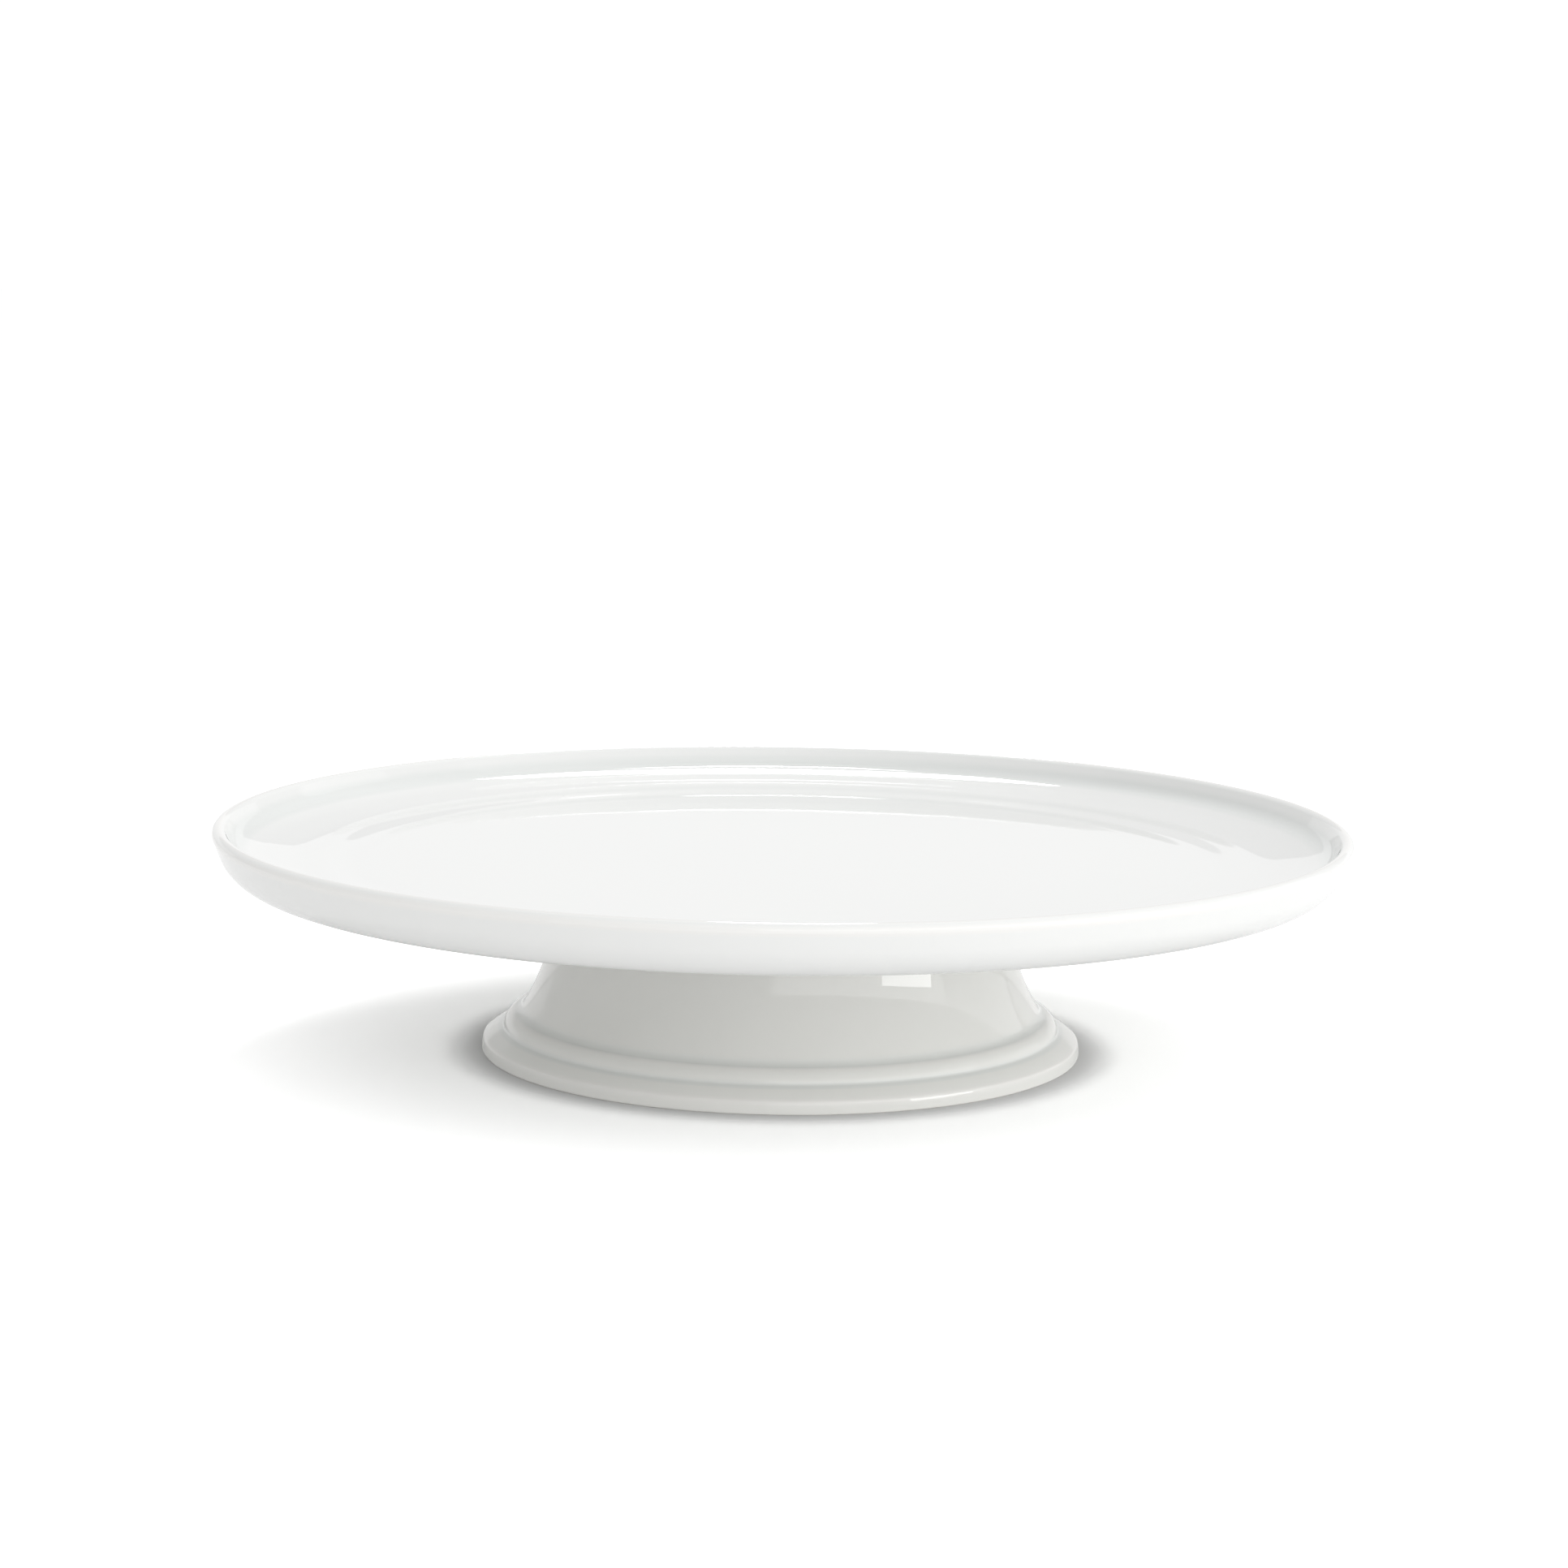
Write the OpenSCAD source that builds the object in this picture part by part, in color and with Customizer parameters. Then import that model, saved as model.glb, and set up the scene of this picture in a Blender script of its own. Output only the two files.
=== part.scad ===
// Low footed cake stand in glazed porcelain: a round plate with a shallow upturned wall, a hollow
// turned foot, and the ring of slip that joins them. Millimetres, +Z up, the origin on the table
// under the middle of the foot. Every piece is turned: each outline below is [radius, height].

/* [Stand] */
// Overall height, from the table to the top of the lip
stand_h = 63; // [50:0.5:140]

/* [Plate] */
// Diameter over the lip
plate_d = 310; // [240:1:400]
// Height of the plate alone, from its underside to the top of the lip
plate_h = 14.5; // [13:0.1:24]
// Thickness of the flat floor
floor_t = 4.1; // [3.2:0.1:6]
// Thickness of the wall at the rounded lip
lip_t = 3.8; // [2.5:0.1:5]
// Lean of the wall's outside, in degrees from upright
outer_lean = 20; // [5:1:30]
// Radius of the heel, where the wall's outside rounds under
heel_r = 11.5; // [5:0.1:12]
// Lean of the wall's inside, in degrees from upright
inner_lean = 27; // [10:1:35]
// Radius of the corner at the foot of the wall's inside
corner_r = 5; // [2:0.1:6]
// Radius of the bend between the dish and that corner
bend_r = 60; // [12:1:80]
// Slope where the bend runs into the corner, in degrees
bend_slope = 20; // [8:1:22]
// Radius of the very slow dish between the flat middle and the bend
dish_r = 250; // [150:10:600]
// Slope where the dish runs into the bend, in degrees
dish_slope = 5; // [2:0.5:6]

/* [Foot] */
// Diameter over the base flange
base_d = 164.6; // [110:0.1:220]
// Thickness of the foot's wall at the neck
foot_wall = 5; // [3:0.1:8]
// Height of the straight collar at the neck, up to the plate
collar_h = 9; // [6:0.1:14]
// Distance that the stem draws in, from the bead's centre line to the neck
stem_draw = 8.8; // [4:0.1:20]
// Radius of the cove where the stem runs out onto the bead
cove_r = 3.5; // [1:0.1:5]
// Radius of the flare inside, where the hollow opens out above the base, if there is room for it
flare_r = 12; // [4:0.5:20]

/* [Base] */
// Radius of the turned bead
bead_r = 4.5; // [3.8:0.1:5.5]
// Height of the bead's centre above the table
bead_z = 6; // [5:0.1:7]
// Distance from the foot's widest edge in to the bead's centre
bead_inset = 10.4; // [9:0.1:12]
// Radius of the groove between the bead and the flange
groove_r = 1; // [0.4:0.1:1.5]
// Radius of the flange's gently domed top
flange_r = 24; // [16:0.5:40]
// Radius of the flange's shoulder, between its top and its skirt
shoulder_r = 1.2; // [0.8:0.1:2]
// Turn from the upright, in degrees, at the shoulder's upper end
shoulder_turn = 55; // [48:1:62]
// Radius of the skirt, the flange's outer face, which leans in as it rises
skirt_r = 13; // [8:0.5:20]
// Turn from the upright, in degrees, at the skirt's upper end
skirt_turn = 11; // [4:1:14]
// Radius of the foot's two bottom edges
toe_r = 0.5; // [0.3:0.1:1]
// Width of the flat dry ring that the stand rests on
rest_w = 4.2; // [2.5:0.1:6]

/* [Slip joint] */
// Thickness of the bed of slip between the foot and the plate
bed_t = 0.5; // [0.3:0.1:1]
// Radius of the slip's fillet outside the neck
outer_fillet_r = 3.5; // [1.5:0.1:5]
// Radius of the slip's fillet inside the neck
inner_fillet_r = 2.5; // [1.5:0.1:5]

/* [Hidden] */
$fn = 128;
arc_step = 3;   // most degrees between two points of an arc
feather = 15;   // degrees left off each end of a slip fillet, so that its edge has some body
flare_share = 0.9;   // most of the room above the dry ring that the hollow's flare may take up

porcelain = [0.93, 0.93, 0.92];
slip_white = [0.9, 0.9, 0.88];

function polar(r, a) = r * [cos(a), sin(a)];
function heading(p, q) = atan2(q.y - p.y, q.x - p.x);

// Points along an arc from angle a0 to a1
function arc(c, r, a0, a1) =
    let (n = max(2, ceil(abs(a1 - a0) / arc_step)))
    [for (i = [0:n]) c + polar(r, a0 + (a1 - a0) * i / n)];

// The same without its first point, where the arc before it ends on that point
function arc_on(c, r, a0, a1) =
    let (points = arc(c, r, a0, a1))
    [for (i = [1:len(points) - 1]) points[i]];

// The point at distance d1 from c1 and d2 from c2, on the left of the way from c1 to c2
function left_meet(c1, d1, c2, d2) =
    let (way = c2 - c1, d = norm(way), u = way / d)
    let (along = (d1 * d1 - d2 * d2 + d * d) / (2 * d))
    c1 + along * u + sqrt(d1 * d1 - along * along) * [-u.y, u.x];

// ---- plate: jiggered in one piece, a flat floor and a wall with a rounded lip ------------

under_z = stand_h - plate_h;
floor_z = under_z + floor_t;

lip_r = lip_t / 2;
lip_c = [plate_d / 2 - lip_r, stand_h - lip_r];

// The heel touches the underside, and the leaning line that is the wall's outside
heel_c_z = under_z + heel_r;
heel_in = ((lip_c.y - heel_c_z) * sin(outer_lean) + heel_r - lip_r) / cos(outer_lean);
heel_c = [lip_c.x - heel_in, heel_c_z];

// The corner touches the line that is the wall's inside, and the bend. The bend touches the dish,
// which leaves the flat middle level
bend_c_z = floor_z + dish_r - (dish_r - bend_r) * cos(dish_slope);
corner_c_z = bend_c_z - (bend_r - corner_r) * cos(bend_slope);
corner_in = ((lip_c.y - corner_c_z) * sin(inner_lean) + lip_r + corner_r) / cos(inner_lean);
corner_c = [lip_c.x - corner_in, corner_c_z];
bend_c = corner_c - (bend_r - corner_r) * [sin(bend_slope), -cos(bend_slope)];
dish_c = bend_c - (dish_r - bend_r) * [sin(dish_slope), -cos(dish_slope)];

module plate_section() {
    polygon(concat(
        [[0, under_z]],
        arc(heel_c, heel_r, -90, -outer_lean),
        arc(lip_c, lip_r, -outer_lean, 180 - inner_lean),
        arc(corner_c, corner_r, -inner_lean, bend_slope - 90),
        arc_on(bend_c, bend_r, bend_slope - 90, dish_slope - 90),
        arc_on(dish_c, dish_r, dish_slope - 90, -90),
        [[0, floor_z]]));
}

module plate() {
    color(porcelain) rotate_extrude() plate_section();
}

// ---- pedestal: cast hollow, with a flange, a groove, a bead and a drawn-in stem ------------

base_r = base_d / 2;
collar_top_z = under_z - bed_t;
neck_z = under_z - collar_h;

bead_c = [base_r - bead_inset, bead_z];
neck_r = bead_c.x - stem_draw;
bore_r = neck_r - foot_wall;

// The stem's curve leaves the collar upright, and carried on down it would meet the bead's crest
stem_drop = neck_z - bead_z - bead_r;
stem_r = (stem_draw * stem_draw + stem_drop * stem_drop) / (2 * stem_draw);
stem_c = [neck_r + stem_r, neck_z];
cove_c = left_meet(bead_c, bead_r + cove_r, stem_c, stem_r - cove_r);

toe_c = [base_r - toe_r, toe_r];
skirt_c = [base_r - skirt_r, toe_r];
shoulder_c = skirt_c + polar(skirt_r - shoulder_r, skirt_turn);
flange_c = shoulder_c - polar(flange_r - shoulder_r, shoulder_turn);
groove_c = left_meet(bead_c, bead_r + groove_r, flange_c, flange_r + groove_r);

// The hollow follows the stem a wall's thickness in, then flares to the dry ring's inner edge. A
// flare that would reach past that edge is made smaller, to leave a straight run down to it
rest_c = [toe_c.x - rest_w, toe_r];
hollow_r = stem_r + foot_wall;
flare_a = 180 + asin(stem_drop / hollow_r);
flare_way = rest_c - stem_c - polar(hollow_r, flare_a);
flare_reach = -flare_way * polar(1, flare_a) - toe_r;
flare_room = flare_share * (flare_way * flare_way - toe_r * toe_r) / 2;
flare_fit_r = flare_reach * flare_r > flare_room ? flare_room / flare_reach : flare_r;
flare_c = stem_c + polar(hollow_r - flare_fit_r, flare_a);
splay_a = 360 + heading(flare_c, rest_c) - acos((flare_fit_r - toe_r) / norm(rest_c - flare_c));

module pedestal_section() {
    polygon(concat(
        arc(toe_c, toe_r, -90, 0),
        arc_on(skirt_c, skirt_r, 0, skirt_turn),
        arc_on(shoulder_c, shoulder_r, skirt_turn, shoulder_turn),
        arc_on(flange_c, flange_r, shoulder_turn, heading(flange_c, groove_c)),
        arc_on(groove_c, groove_r, 180 + heading(flange_c, groove_c), 180 + heading(bead_c, groove_c)),
        arc_on(bead_c, bead_r, heading(bead_c, groove_c), heading(bead_c, cove_c)),
        arc_on(cove_c, cove_r, 180 + heading(bead_c, cove_c), 360 + heading(stem_c, cove_c)),
        arc_on(stem_c, stem_r, 360 + heading(stem_c, cove_c), 180),
        [[neck_r, collar_top_z], [bore_r, collar_top_z]],
        arc(stem_c, hollow_r, 180, flare_a),
        arc_on(flare_c, flare_fit_r, flare_a, splay_a),
        arc(rest_c, toe_r, splay_a, 270)));
}

module pedestal() {
    color(porcelain) rotate_extrude() pedestal_section();
}

// ---- slip seam: a bed of slip in the joint, wiped to a fillet on both sides of the neck ------

outer_fillet_c = [neck_r + outer_fillet_r, under_z - outer_fillet_r];
inner_fillet_c = [bore_r - inner_fillet_r, under_z - inner_fillet_r];
outer_fillet = arc(outer_fillet_c, outer_fillet_r, 180 - feather, 90 + feather);
inner_fillet = arc(inner_fillet_c, inner_fillet_r, 90 - feather, feather);

module slip_seam_section() {
    polygon(concat(
        [[neck_r, outer_fillet[0].y]],
        outer_fillet,
        [[outer_fillet[len(outer_fillet) - 1].x, under_z], [inner_fillet[0].x, under_z]],
        inner_fillet,
        [[bore_r, inner_fillet[len(inner_fillet) - 1].y]],
        [[bore_r, collar_top_z], [neck_r, collar_top_z]]));
}

module slip_seam() {
    color(slip_white) rotate_extrude() slip_seam_section();
}

plate();
pedestal();
slip_seam();
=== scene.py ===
from math import acos, asin, atan2, ceil, cos, degrees, hypot, pi, radians, sin, sqrt, tan

import bpy
from mathutils import Matrix, Vector


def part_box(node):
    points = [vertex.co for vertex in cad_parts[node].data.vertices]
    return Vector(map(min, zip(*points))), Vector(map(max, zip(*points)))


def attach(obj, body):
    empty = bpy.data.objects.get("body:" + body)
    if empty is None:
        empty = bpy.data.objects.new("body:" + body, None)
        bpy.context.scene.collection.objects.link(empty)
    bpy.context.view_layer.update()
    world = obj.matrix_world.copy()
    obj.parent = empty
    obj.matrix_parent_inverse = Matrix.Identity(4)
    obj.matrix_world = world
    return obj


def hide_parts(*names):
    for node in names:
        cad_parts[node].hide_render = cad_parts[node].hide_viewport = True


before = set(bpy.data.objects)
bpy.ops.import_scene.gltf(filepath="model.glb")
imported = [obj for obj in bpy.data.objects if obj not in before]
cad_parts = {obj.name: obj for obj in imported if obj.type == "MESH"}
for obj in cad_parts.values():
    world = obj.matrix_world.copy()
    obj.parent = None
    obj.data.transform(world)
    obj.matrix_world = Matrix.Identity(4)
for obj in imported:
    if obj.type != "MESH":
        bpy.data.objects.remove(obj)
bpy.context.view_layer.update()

# ------------------------------------------------------------------------------------------
# Plate. Hard white porcelain, jiggered over a plaster mould: a plaster head shapes the top and
# a steel profile the underside, which leaves faint rings where the floor bends up to the wall.
# The rim is sponged round, and the whole plate is dipped in clear glaze.
# ------------------------------------------------------------------------------------------
mm = 0.001

plate_low, plate_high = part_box("plate")
rim_radius = plate_high.x
rim_top = plate_high.z
underside = plate_low.z

floor_height = underside + 4.1 * mm
lip_radius = 1.9 * mm
wall_lean_outside = 20
wall_lean_inside = 27
heel_radius = 11.5 * mm
corner_radius = 5 * mm
bend_radius = 60 * mm
bend_slope = 20
dish_radius = 250 * mm
dish_slope = 5


def along(centre, radius, degrees_up):
    """The point of a circle at an angle counted up from the horizontal."""
    a = radians(degrees_up)
    return centre[0] + radius * cos(a), centre[1] + radius * sin(a)


class Outline:
    """Draws a turned piece's outline from (radius, height) points, then turns it."""

    def __init__(self, name, start):
        bpy.ops.object.select_all(action="DESELECT")
        bpy.ops.mesh.primitive_plane_add(size=mm, location=(start[0], 0, start[1]))
        self.piece = bpy.context.object
        self.piece.name = self.piece.data.name = name
        bpy.ops.object.transform_apply(location=True)
        bpy.ops.object.mode_set(mode="EDIT")
        bpy.ops.mesh.select_all(action="SELECT")
        bpy.ops.mesh.merge(type="CENTER")
        self.end = start

    def line(self, point, cuts=1):
        """Extrudes a straight run to a point, in one step or several."""
        step = ((point[0] - self.end[0]) / cuts, 0, (point[1] - self.end[1]) / cuts)
        for _ in range(cuts):
            bpy.ops.mesh.extrude_region_move(TRANSFORM_OT_translate={"value": step})
        self.end = point

    def arc(self, centre, radius, start, stop, finest=3):
        """Runs to the arc's start, then spins along it, in steps of a few degrees."""
        first = along(centre, radius, start)
        if hypot(first[0] - self.end[0], first[1] - self.end[1]) > mm / 1000:
            self.line(first)
        bpy.ops.mesh.spin(
            steps=max(2, ceil(abs(stop - start) / finest)),
            angle=radians(stop - start),
            center=(centre[0], 0, centre[1]),
            axis=(0, 1, 0),
        )
        self.end = along(centre, radius, stop)

    def turn(self, steps=360):
        """Spins the outline round the axis, closes its seam and poles, and smooths it."""
        bpy.ops.mesh.select_all(action="SELECT")
        bpy.ops.mesh.spin(steps=steps, angle=2 * pi, center=(0, 0, 0), axis=(0, 0, 1))
        bpy.ops.mesh.select_all(action="SELECT")
        bpy.ops.mesh.remove_doubles(threshold=mm / 1000)
        bpy.ops.mesh.normals_make_consistent(inside=False)
        bpy.ops.object.mode_set(mode="OBJECT")
        bpy.ops.object.shade_smooth()
        return self.piece


lip_centre = rim_radius - lip_radius, rim_top - lip_radius
heel_height = underside + heel_radius
heel_in = (
    (lip_centre[1] - heel_height) * sin(radians(wall_lean_outside)) + heel_radius - lip_radius
) / cos(radians(wall_lean_outside))
heel_centre = lip_centre[0] - heel_in, heel_height

bend_height = (
    floor_height
    + dish_radius * (1 - cos(radians(dish_slope)))
    + bend_radius * cos(radians(dish_slope))
)
corner_height = bend_height - (bend_radius - corner_radius) * cos(radians(bend_slope))
corner_in = (
    (lip_centre[1] - corner_height) * sin(radians(wall_lean_inside)) + lip_radius + corner_radius
) / cos(radians(wall_lean_inside))
corner_centre = lip_centre[0] - corner_in, corner_height
bend_centre = (
    corner_centre[0] - (bend_radius - corner_radius) * sin(radians(bend_slope)),
    bend_height,
)
dish_centre = (
    bend_centre[0] - (dish_radius - bend_radius) * sin(radians(dish_slope)),
    floor_height + dish_radius,
)

rings_from = dish_centre[0]
rings_to = rings_from + 36 * mm
ring_pitch = 13 * mm
ring_crest = 122 * mm
ring_height = 0.075 * mm


def tool_rings(radius):
    """Height that the jigger's rings add to the dish, fading out at both ends."""
    share = (radius - rings_from) / (rings_to - rings_from)
    fade = max(0, sin(pi * share)) if 0 < share < 1 else 0
    return ring_height * fade ** 0.5 * sin(2 * pi * (radius - ring_crest) / ring_pitch)


outline = Outline("plate_jiggered", (0, underside))
outline.line((60 * mm, underside), 6)
outline.line((heel_centre[0], underside), 12)
outline.arc(heel_centre, heel_radius, -90, -wall_lean_outside, 2)
outline.arc(lip_centre, lip_radius, -wall_lean_outside, 180 - wall_lean_inside, 4)
outline.arc(corner_centre, corner_radius, -wall_lean_inside, bend_slope - 90, 3)
outline.arc(bend_centre, bend_radius, bend_slope - 90, dish_slope - 90, 1)
outline.arc(dish_centre, dish_radius, dish_slope - 90, -90, 0.15)
outline.line((0, floor_height), 16)
plate = outline.turn()
dish_top = floor_height + 5 * mm
for v in plate.data.vertices:
    if floor_height - mm < v.co.z < dish_top:
        v.co.z += tool_rings(hypot(v.co.x, v.co.y))


class Field:
    """Wraps a shader socket, so that an expression on it adds its Math nodes."""

    def __init__(self, finish, socket):
        self.finish = finish
        self.socket = socket

    def node(self, kind, settings=None, out=0, **inputs):
        """Adds any node. Its sockets take values or links, by name or by number as in0 and in1."""
        tree = self.finish.node_tree
        made = tree.nodes.new(kind)
        for key, value in (settings or {}).items():
            setattr(made, key, value)
        for key, value in inputs.items():
            numbered = key.startswith("in") and key[2:].isdigit()
            target = made.inputs[int(key[2:]) if numbered else key.replace("_", " ")]
            if isinstance(value, Field):
                tree.links.new(value.socket, target)
            else:
                target.default_value = value
        return Field(self.finish, made.outputs[out])

    def maths(self, operation, other=0.0, first=None):
        a, b = (self, other) if first is None else (first, self)
        return self.node("ShaderNodeMath", {"operation": operation}, in0=a, in1=b)

    def __add__(self, other):
        return self.maths("ADD", other)

    __radd__ = __add__

    def __mul__(self, other):
        return self.maths("MULTIPLY", other)

    __rmul__ = __mul__

    def __sub__(self, other):
        return self.maths("SUBTRACT", other)

    def __rsub__(self, other):
        return self.maths("SUBTRACT", first=other)

    def __truediv__(self, other):
        return self.maths("DIVIDE", other)

    def above(self, low, high):
        """0 below low, 1 above high, and a smooth rise between them."""
        return self.node(
            "ShaderNodeMapRange",
            {"interpolation_type": "SMOOTHSTEP", "clamp": True},
            Value=self,
            From_Min=low,
            From_Max=high,
        )


def glaze(name, body, pools=(), thins=(), dry_below=None, seed=0.0):
    """Clear glaze over white porcelain, thicker and greyer where it pools, and thin at edges.

    pools and thins are circles of (radius, height, reach) round the axis."""
    finish = bpy.data.materials.new(name)
    finish.use_nodes = True
    tree = finish.node_tree
    shader = tree.nodes["Principled BSDF"]
    start = Field(finish, None)
    place = start.node("ShaderNodeTexCoord", out=3)
    sideways = start.node(
        "ShaderNodeVectorMath", {"operation": "MULTIPLY"}, in0=place, in1=(1, 1, 0)
    )
    radius = start.node("ShaderNodeVectorMath", {"operation": "LENGTH"}, out=1, in0=sideways)
    height = start.node("ShaderNodeSeparateXYZ", out=2, Vector=place)
    shifted = start.node("ShaderNodeMapping", Vector=place, Location=(seed, -seed, seed / 2))

    def near(circle):
        r, z, reach = circle
        across = radius - r
        up = height - z
        apart = across * across + up * up
        return 1 - apart.above(0.0, reach * reach)

    def noise(scale, detail=2.0):
        return start.node("ShaderNodeTexNoise", Vector=shifted, Scale=scale, Detail=detail)

    # Slow drifts in the glaze's thickness, and small clouds in the body under it
    drift = noise(9.0)
    cloud = noise(70.0, 3.0)
    pooled = sum([near(c) for c in pools], drift.above(0.45, 0.75) * 0.12)
    thin = sum([near(c) for c in thins], cloud.above(0.5, 0.8) * 0.05)

    def tint(below, above, share):
        return start.node(
            "ShaderNodeMix", {"data_type": "RGBA"}, out=2, Factor=share, in6=below, in7=above
        )

    pool_grey = (0.70, 0.725, 0.71, 1)
    edge_white = (0.83, 0.815, 0.79, 1)
    colour = tint(body, pool_grey, pooled * 0.55)
    colour = tint(colour, edge_white, thin * 0.5)

    # Iron specks in the body, far apart, each a soft grey dot under the glaze
    def cell(out):
        return start.node("ShaderNodeTexVoronoi", out=out, Vector=shifted, Scale=75.0)

    from_middle, which = cell(0), cell(1)
    lot = start.node("ShaderNodeSeparateColor", Color=which)
    size = start.node("ShaderNodeSeparateColor", out=1, Color=which)
    speck = (1 - (from_middle / (size * 0.03 + 0.02)).above(0.5, 1.0)) * lot.above(0.80, 0.82)
    speck_grey = (0.42, 0.41, 0.38, 1)
    colour = tint(colour, speck_grey, speck * 0.55)

    # The glaze is glassy, with a very fine orange peel, and a slow roll that bends reflections
    peel = noise(420.0, 1.0)
    roll = noise(16.0, 1.0)
    roughness = 0.01 + peel * 0.02 + drift * 0.01
    if dry_below is not None:
        bare = 1 - height.above(dry_below * 0.6, dry_below)
        grit = noise(1800.0, 4.0)
        bisque = (0.80, 0.785, 0.755, 1)
        colour = tint(colour, bisque, bare)
        roughness = roughness + bare * (0.6 + grit * 0.2)
    bump = start.node(
        "ShaderNodeBump", Strength=0.25, Distance=0.4 * mm, Height=roll + peel * 0.02
    )
    tree.links.new(colour.socket, shader.inputs["Base Color"])
    tree.links.new(roughness.socket, shader.inputs["Roughness"])
    tree.links.new(bump.socket, shader.inputs["Normal"])
    shader.inputs["IOR"].default_value = 1.5
    return finish


porcelain_white = (0.79, 0.795, 0.785, 1)
plate_glaze = glaze(
    "clear_glaze_on_plate",
    porcelain_white,
    pools=[(corner_centre[0] + 3 * mm, corner_height - 4 * mm, 4 * mm)],
    thins=[
        (rim_radius, lip_centre[1], 1.6 * mm),
        (lip_centre[0], rim_top, 1.2 * mm),
    ],
)
plate.data.materials.append(plate_glaze)
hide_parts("plate")
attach(plate, "root")

# ------------------------------------------------------------------------------------------
# Pedestal. The same porcelain, cast hollow in a plaster mould and fettled on a wheel: a base
# flange, a groove, a bead and a stem that draws in to a straight collar. It is glazed inside
# and out, and wiped bare on the ring that it stands on, so that it doesn't stick in the kiln.
# ------------------------------------------------------------------------------------------
foot_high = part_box("pedestal")[1]
base_radius = foot_high.x
collar_top = foot_high.z

wall = 5 * mm
collar_height = 8.5 * mm
stem_draw = 8.8 * mm
cove_radius = 3.5 * mm
flare_radius = 12 * mm
bead_radius = 4.5 * mm
bead_height = 6 * mm
bead_in = 10.4 * mm
groove_radius = 1 * mm
flange_radius = 24 * mm
shoulder_radius = 1.2 * mm
shoulder_turn = 55
skirt_radius = 13 * mm
skirt_turn = 11
toe_radius = 0.5 * mm
resting_width = 4.2 * mm


def heading(a, b):
    """The angle of the way from a to b, in degrees up from the horizontal."""
    return degrees(atan2(b[1] - a[1], b[0] - a[0]))


def left_meet(a, from_a, b, from_b):
    """The point at those distances from a and b, on the left of the way from a to b."""
    apart = hypot(b[0] - a[0], b[1] - a[1])
    on = (from_a * from_a - from_b * from_b + apart * apart) / (2 * apart)
    off = sqrt(from_a * from_a - on * on)
    ux, uy = (b[0] - a[0]) / apart, (b[1] - a[1]) / apart
    return a[0] + on * ux - off * uy, a[1] + on * uy + off * ux


neck_height = collar_top - collar_height
bead = base_radius - bead_in, bead_height
neck_radius = bead[0] - stem_draw
bore_radius = neck_radius - wall
stem_drop = neck_height - bead_height - bead_radius
stem_radius = (stem_draw * stem_draw + stem_drop * stem_drop) / (2 * stem_draw)
stem = neck_radius + stem_radius, neck_height
cove = left_meet(bead, bead_radius + cove_radius, stem, stem_radius - cove_radius)
toe = base_radius - toe_radius, toe_radius
skirt = base_radius - skirt_radius, toe_radius
shoulder = along(skirt, skirt_radius - shoulder_radius, skirt_turn)
flange = along(shoulder, shoulder_radius - flange_radius, shoulder_turn)
groove = left_meet(bead, bead_radius + groove_radius, flange, flange_radius + groove_radius)
ring_edge = toe[0] - resting_width, toe_radius
flare_from = 180 + degrees(asin(stem_drop / (stem_radius + wall)))
flare = along(stem, stem_radius + wall - flare_radius, flare_from)
flare_to_edge = hypot(ring_edge[0] - flare[0], ring_edge[1] - flare[1])
splay = (
    360
    + heading(flare, ring_edge)
    - degrees(acos((flare_radius - toe_radius) / flare_to_edge))
)

outline = Outline("pedestal_cast", along(toe, toe_radius, -90))
outline.arc(toe, toe_radius, -90, 0, 10)
outline.arc(skirt, skirt_radius, 0, skirt_turn, 1)
outline.arc(shoulder, shoulder_radius, skirt_turn, shoulder_turn, 5)
outline.arc(flange, flange_radius, shoulder_turn, heading(flange, groove), 1)
outline.arc(groove, groove_radius, 180 + heading(flange, groove), 180 + heading(bead, groove), 8)
outline.arc(bead, bead_radius, heading(bead, groove), heading(bead, cove), 4)
outline.arc(cove, cove_radius, 180 + heading(bead, cove), 360 + heading(stem, cove), 4)
outline.arc(stem, stem_radius, 360 + heading(stem, cove), 180, 1.5)
outline.line((neck_radius, collar_top), 4)
outline.line((bore_radius, collar_top), 2)
outline.line((bore_radius, neck_height), 4)
outline.arc(stem, stem_radius + wall, 180, flare_from, 2)
outline.arc(flare, flare_radius, flare_from, splay, 3)
outline.arc(ring_edge, toe_radius, splay, 270, 6)
outline.line(along(toe, toe_radius, -90), 4)
pedestal = outline.turn()

# The casting slip fires a touch warmer than the plate's body
warmer_white = (0.795, 0.795, 0.765, 1)
groove_bottom = along(groove, groove_radius, 250)
pedestal_glaze = glaze(
    "clear_glaze_on_pedestal",
    warmer_white,
    pools=[
        (*groove_bottom, 1.6 * mm),
        (cove[0] - 1 * mm, cove[1] - 2 * mm, 2.6 * mm),
    ],
    thins=[
        (base_radius - 0.5 * mm, 3.4 * mm, 1.3 * mm),
        (bead[0] + 2.5 * mm, bead_height + bead_radius, 1.5 * mm),
    ],
    dry_below=0.35 * mm,
    seed=0.7,
)
pedestal.data.materials.append(pedestal_glaze)
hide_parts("pedestal")
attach(pedestal, "root")

# ------------------------------------------------------------------------------------------
# Slip seam. Liquid porcelain, spread on the leather-hard foot's top edge to stick it to the
# plate, then wiped to a smooth fillet round the outside and the inside of the neck.
# ------------------------------------------------------------------------------------------
outer_fillet = 3.5 * mm
inner_fillet = 2.5 * mm
feather = 15  # degrees left off each end of a fillet, so that its edge has some body

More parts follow.
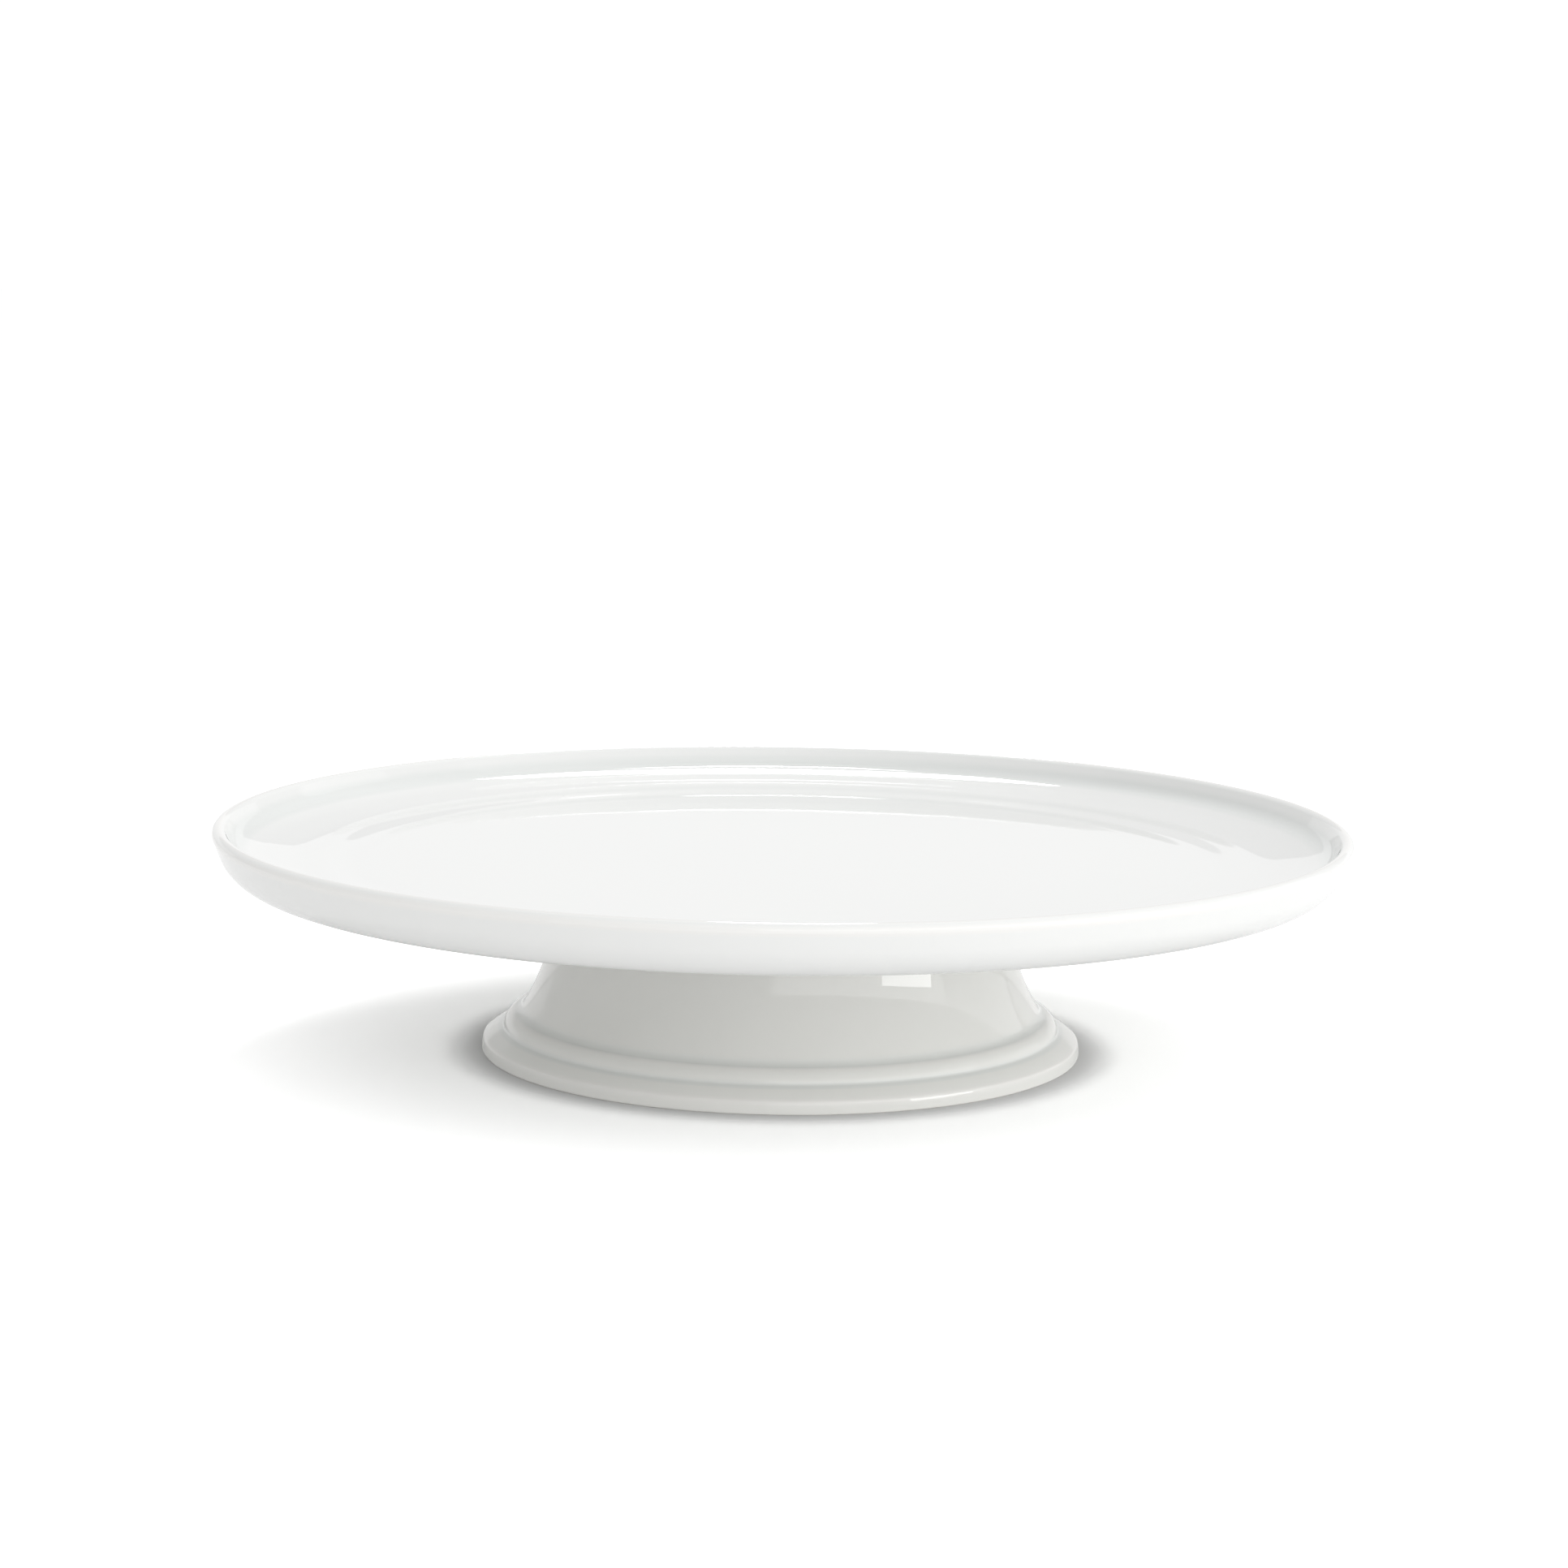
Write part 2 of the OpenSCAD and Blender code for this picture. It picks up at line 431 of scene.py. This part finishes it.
outer_centre = neck_radius + outer_fillet, underside - outer_fillet
inner_centre = bore_radius - inner_fillet, underside - inner_fillet
outer_foot = neck_radius, along(outer_centre, outer_fillet, 180 - feather)[1]
outline = Outline("seam_of_slip", outer_foot)
outline.arc(outer_centre, outer_fillet, 180 - feather, 90 + feather, 5)
outline.line((outline.end[0], underside))
outline.line((along(inner_centre, inner_fillet, 90 - feather)[0], underside), 4)
outline.arc(inner_centre, inner_fillet, 90 - feather, feather, 5)
outline.line((bore_radius, outline.end[1]))
outline.line((bore_radius, collar_top))
outline.line((neck_radius, collar_top), 4)
outline.line(outer_foot)
seam = outline.turn()

slip_white = (0.78, 0.785, 0.77, 1)
seam_glaze = glaze(
    "clear_glaze_on_seam",
    slip_white,
    pools=[(neck_radius + 1.5 * mm, underside - 1.5 * mm, 3 * mm)],
    seed=1.9,
)
seam.data.materials.append(seam_glaze)
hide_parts("slip_seam")
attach(seam, "root")

# ------------------------------------------------------------------------------------------
# Studio. A matt white table in a pale room, both burnt out to white for the camera. A lit screen
# stands low behind with a tall strip light over it, a low window and soft fills are in front at
# the right, and the ceiling is soft.
# ------------------------------------------------------------------------------------------
scene = bpy.context.scene
scene.view_settings.view_transform = "Standard"
scene.view_settings.look = "None"

room_light = 0.72
room_as_seen = 1.05
room = bpy.data.worlds.new("pale_room")
room.use_nodes = True
tree = room.node_tree
level = tree.nodes.new("ShaderNodeMapRange")
level.inputs["To Min"].default_value = room_light
level.inputs["To Max"].default_value = room_as_seen
seen = tree.nodes.new("ShaderNodeLightPath").outputs["Is Camera Ray"]
background = tree.nodes["Background"]
background.inputs["Color"].default_value = (1, 1, 1, 1)
tree.links.new(seen, level.inputs["Value"])
tree.links.new(level.outputs["Result"], background.inputs["Strength"])
scene.world = room

bpy.ops.object.select_all(action="DESELECT")
bpy.ops.mesh.primitive_plane_add(size=40, location=(0, 0, 0))
table = bpy.context.object
table.name = "studio_floor"
table_white = bpy.data.materials.new("matt_white_table")
table_white.use_nodes = True
tree = table_white.node_tree
tree.nodes.remove(tree.nodes["Principled BSDF"])
matt = tree.nodes.new("ShaderNodeBsdfDiffuse")

# The camera sees the table burnt out, but with a painted contact shadow: for camera rays only, the
# table's colour darkens close round the foot
table_light = 0.93
table_as_seen = 1.4
painted_shadow_at_foot = 0.62
on_table = Field(table_white, None)
place = on_table.node("ShaderNodeTexCoord", out=3)
from_axis = on_table.node("ShaderNodeVectorMath", {"operation": "LENGTH"}, out=1, in0=place)
# Painted contact shadow: the colour seen by the camera falls from burnt-out white to grey at the
# foot's edge
painted_contact_shadow = on_table.node(
    "ShaderNodeMapRange",
    {"interpolation_type": "SMOOTHSTEP"},
    Value=from_axis,
    From_Min=base_radius - 1 * mm,
    From_Max=base_radius + 14 * mm,
    To_Min=painted_shadow_at_foot,
    To_Max=table_as_seen,
)
seen = on_table.node("ShaderNodeLightPath")
level = seen * painted_contact_shadow + (1 - seen) * table_light
tree.links.new(level.socket, matt.inputs["Color"])
tree.links.new(matt.outputs["BSDF"], tree.nodes["Material Output"].inputs["Surface"])
table.data.materials.append(table_white)


def panel(name, azimuths, elevations, distance, radiance):
    """A flat light that fills those angles, seen from the stand: 0 is behind it, 90 its right."""
    azimuth, elevation = radians(sum(azimuths) / 2), radians(sum(elevations) / 2)
    toward = Vector((sin(azimuth) * cos(elevation), cos(azimuth) * cos(elevation), sin(elevation)))
    lamp = bpy.data.lights.new(name, "AREA")
    lamp.shape = "RECTANGLE"
    lamp.size = 2 * distance * tan(radians(azimuths[1] - azimuths[0]) / 2) * cos(elevation)
    lamp.size_y = 2 * distance * tan(radians(elevations[1] - elevations[0]) / 2)
    lamp.energy = radiance * pi * lamp.size * lamp.size_y
    holder = bpy.data.objects.new(name, lamp)
    holder.location = toward * distance + Vector((0, 0, rim_top))
    holder.rotation_euler = toward.to_track_quat("Z", "Y").to_euler()
    holder.visible_camera = False
    scene.collection.objects.link(holder)


panel("back_screen", (-43, 43), (0, 11.5), 6, 0.24)
panel("strip_light", (-4.5, 5.5), (38, 60), 3, 18)
panel("ceiling_behind", (-60, 60), (62, 88), 2.5, 0.32)
panel("window_low", (104, 131), (0.5, 8.5), 2.5, 5)
panel("bounce_in_front", (95, 185), (3, 32), 2.2, 1.2)
panel("bounce_at_right", (45, 95), (0, 30), 3, 0.45)
panel("soft_ceiling_right", (85, 175), (35, 75), 2.5, 0.32)
panel("soft_ceiling_left", (185, 275), (35, 75), 2.5, 0.22)

# The camera looks slightly down across the plate, and is turned a touch on its own axis
look_down = 0.1450
roll = 0.01396
stands_at = (0, -0.9681, 0.2145)
lens = bpy.data.cameras.new("camera")
lens.lens = 82
lens.sensor_width = 36
camera = bpy.data.objects.new("camera", lens)
tilt = Matrix.Rotation(pi / 2 - look_down, 4, "X") @ Matrix.Rotation(roll, 4, "Z")
camera.matrix_world = Matrix.Translation(stands_at) @ tilt
scene.collection.objects.link(camera)
scene.camera = camera
